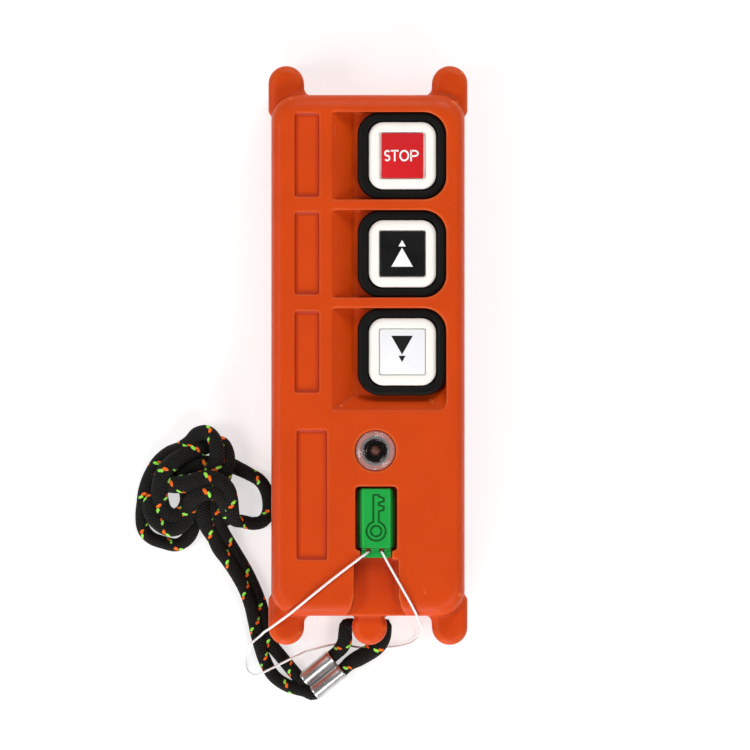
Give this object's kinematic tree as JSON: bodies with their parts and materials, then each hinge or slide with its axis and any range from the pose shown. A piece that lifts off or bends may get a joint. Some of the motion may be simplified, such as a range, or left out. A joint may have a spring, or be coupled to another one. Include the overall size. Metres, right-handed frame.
{
  "type": "handheld hoist control station",
  "caption": "Handheld radio control station with sprung push buttons, status lamp, magnetic key and wrist lanyard.",
  "frame": {"origin": "centre of the case's footprint, on the flat back it lies on", "axes": "+Z out of the button face, +Y along the case towards the stop button, +X to the side the buttons are on"},
  "size_m": [0.0846, 0.1638, 0.027],
  "materials": {
    "case_orange": "fine satin",
    "black_rubber": "matt",
    "cap_white": "semi-gloss",
    "tile_red": "semi-gloss",
    "tile_black": "semi-gloss",
    "tile_grey": "semi-gloss",
    "key_green": "satin",
    "key_magnet": "polished nickel plate",
    "lens_clear": "clear, polished",
    "led_resin": "tinted resin",
    "holder_black": "matt",
    "steel": "plain",
    "nickel": "nickel plated",
    "board_green": "solder mask",
    "chip_black": "matt",
    "copper": "enamelled",
    "cell_sleeve": "printed sleeve, plain",
    "wire_red": "insulation",
    "wire_black": "insulation",
    "cord_black": "braided cord with bright flecks",
    "tether_white": "thin line"
  },
  "bodies": {
    "case": {"antenna_coil": "copper", "battery_cover": "case_orange", "battery_cover_seal": "black_rubber", "battery_lead_negative": "wire_black", "battery_lead_positive": "wire_red", "case_screw_1": "steel", "case_screw_2": "steel", "case_screw_3": "steel", "case_screw_4": "steel", "case_seal": "black_rubber", "cell_left": "cell_sleeve", "cell_right": "cell_sleeve", "cell_spring_lower": "nickel", "cell_spring_upper": "nickel", "contact_link": "nickel", "contact_negative": "nickel", "contact_positive": "nickel", "cover_screw_1": "steel", "cover_screw_2": "steel", "crystal": "steel", "down_boot": "black_rubber", "down_spring": "steel", "down_switch": "chip_black", "ferrule": "nickel", "front_shell": "case_orange", "hall_sensor": "chip_black", "key_tether": "tether_white", "lamp_board": "board_green", "lamp_holder": "holder_black", "lamp_led": "led_resin", "lamp_lens": "lens_clear", "lamp_ribbon": "chip_black", "lanyard_bight": "cord_black", "lanyard_knot": "cord_black", "lanyard_loop": "cord_black", "lanyard_strand_inner": "cord_black", "lanyard_strand_outer": "cord_black", "main_board": "board_green", "microcontroller": "chip_black", "radio_module": "steel", "rear_shell": "case_orange", "stop_boot": "black_rubber", "stop_spring": "steel", "stop_switch": "chip_black", "up_boot": "black_rubber", "up_spring": "steel", "up_switch": "chip_black"},
    "stop_button": {"stop_cap": "cap_white", "stop_tile": "tile_red", "stop_plunger": "cap_white"},
    "up_button": {"up_cap": "cap_white", "up_tile": "tile_black", "up_plunger": "cap_white"},
    "down_button": {"down_cap": "cap_white", "down_tile": "tile_grey", "down_plunger": "cap_white"},
    "key": {"magnetic_key": "key_green", "key_magnet": "key_magnet", "key_plug": "key_green"}
  },
  "joints": [
    {"name": "stop_press", "type": "slide", "parent": "case", "child": "stop_button", "axis": [0, 0, -1], "range_m": [0, 0.0015], "stiffness_N_per_m": 2000, "springref_m": -0.001, "deforming": ["stop_spring"]},
    {"name": "up_press", "type": "slide", "parent": "case", "child": "up_button", "axis": [0, 0, -1], "range_m": [0, 0.0015], "stiffness_N_per_m": 2000, "springref_m": -0.001, "deforming": ["up_spring"]},
    {"name": "down_press", "type": "slide", "parent": "case", "child": "down_button", "axis": [0, 0, -1], "range_m": [0, 0.0015], "stiffness_N_per_m": 2000, "springref_m": -0.001, "deforming": ["down_spring"]},
    {"name": "key_lift", "type": "slide", "parent": "case", "child": "key", "axis": [0, 0, 1], "range_m": [0, 0.012], "deforming": ["key_tether"]}
  ]
}
